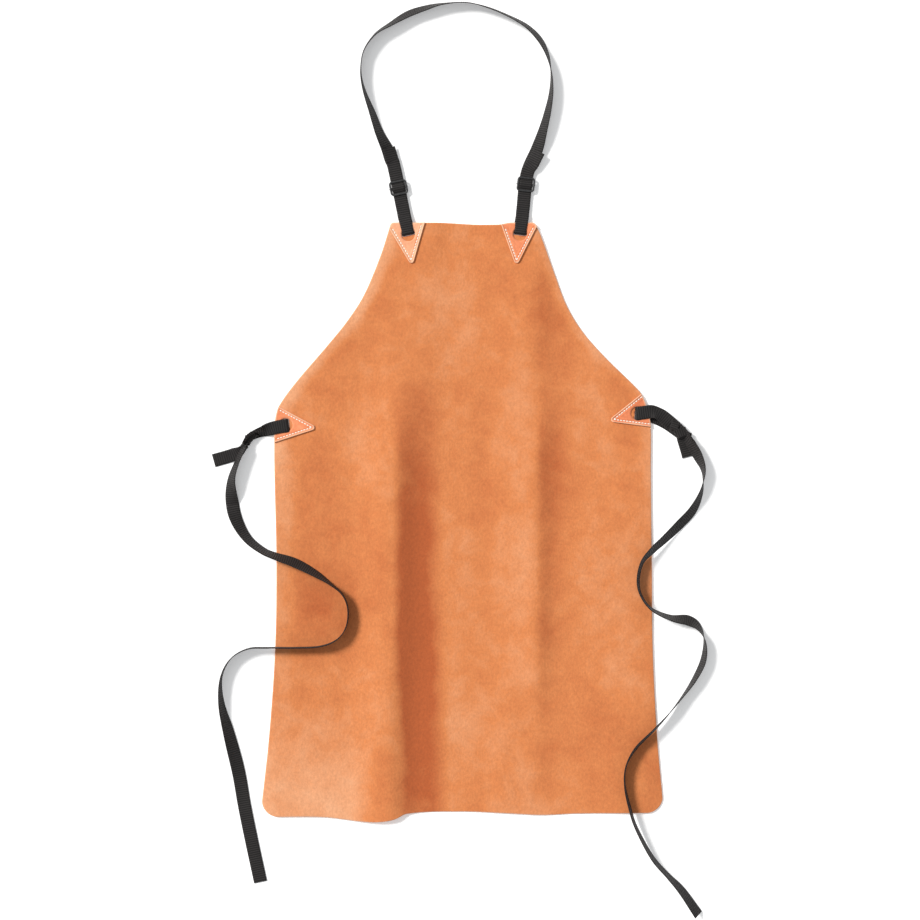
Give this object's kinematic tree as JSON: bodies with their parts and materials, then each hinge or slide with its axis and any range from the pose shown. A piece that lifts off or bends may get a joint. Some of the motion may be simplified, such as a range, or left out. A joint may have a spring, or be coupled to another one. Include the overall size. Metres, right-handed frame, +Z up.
{
  "type": "welding apron",
  "caption": "Bib apron of split leather with stitched corner patches round its punched holes, an adjustable webbing neck strap and webbing waist ties.",
  "frame": {"origin": "on the surface that the apron lies on, under the middle of the hide", "axes": "+X across the apron, +Y along it towards the bib, +Z up out of its outer face"},
  "size_m": [0.7405, 1.3737, 0.0254],
  "materials": {
    "leather": "brushed nap",
    "patch_leather": "brushed nap",
    "thread": "matte",
    "webbing": "woven",
    "buckle": "satin"
  },
  "bodies": {
    "apron": {"apron_hide": "leather", "patch_neck_left": "patch_leather", "patch_neck_right": "patch_leather", "patch_waist_left": "patch_leather", "patch_waist_right": "patch_leather", "needle_thread_neck_left": "thread", "needle_thread_neck_right": "thread", "needle_thread_waist_left": "thread", "needle_thread_waist_right": "thread", "bobbin_thread_neck_left": "thread", "bobbin_thread_neck_right": "thread", "bobbin_thread_waist_left": "thread", "bobbin_thread_waist_right": "thread", "neck_strap_turn_left": "webbing", "neck_strap_turn_right": "webbing", "waist_hitch_left": "webbing", "waist_hitch_right": "webbing"},
    "neck_loop": {"neck_strap": "webbing", "neck_strap_end_left": "webbing", "neck_strap_end_right": "webbing"},
    "slider_left": {"slider_left": "buckle"},
    "slider_right": {"slider_right": "buckle"},
    "tie_left": {"waist_tie_left": "webbing"},
    "tie_right": {"waist_tie_right": "webbing"}
  },
  "joints": [
    {"name": "neck_loop_swing", "type": "hinge", "parent": "apron", "child": "neck_loop", "pos_m": [0, 0.4525, 0.0085], "axis": [1, 0, 0], "range_deg": [0, 165]},
    {"name": "slider_left_slide", "type": "slide", "parent": "neck_loop", "child": "slider_left", "axis": [-0.2045, 0.9789, 0], "range_m": [-0.018, 0.014]},
    {"name": "slider_right_slide", "type": "slide", "parent": "neck_loop", "child": "slider_right", "axis": [0.1149, 0.9934, 0], "range_m": [-0.022, 0.003]},
    {"name": "tie_left_swing", "type": "hinge", "parent": "apron", "child": "tie_left", "pos_m": [-0.323, 0.125, 0], "axis": [0, 0, 1], "range_deg": [-75, 0]},
    {"name": "tie_right_swing", "type": "hinge", "parent": "apron", "child": "tie_right", "pos_m": [0.331, 0.13, 0], "axis": [0, 0, 1], "range_deg": [0, 75]}
  ]
}
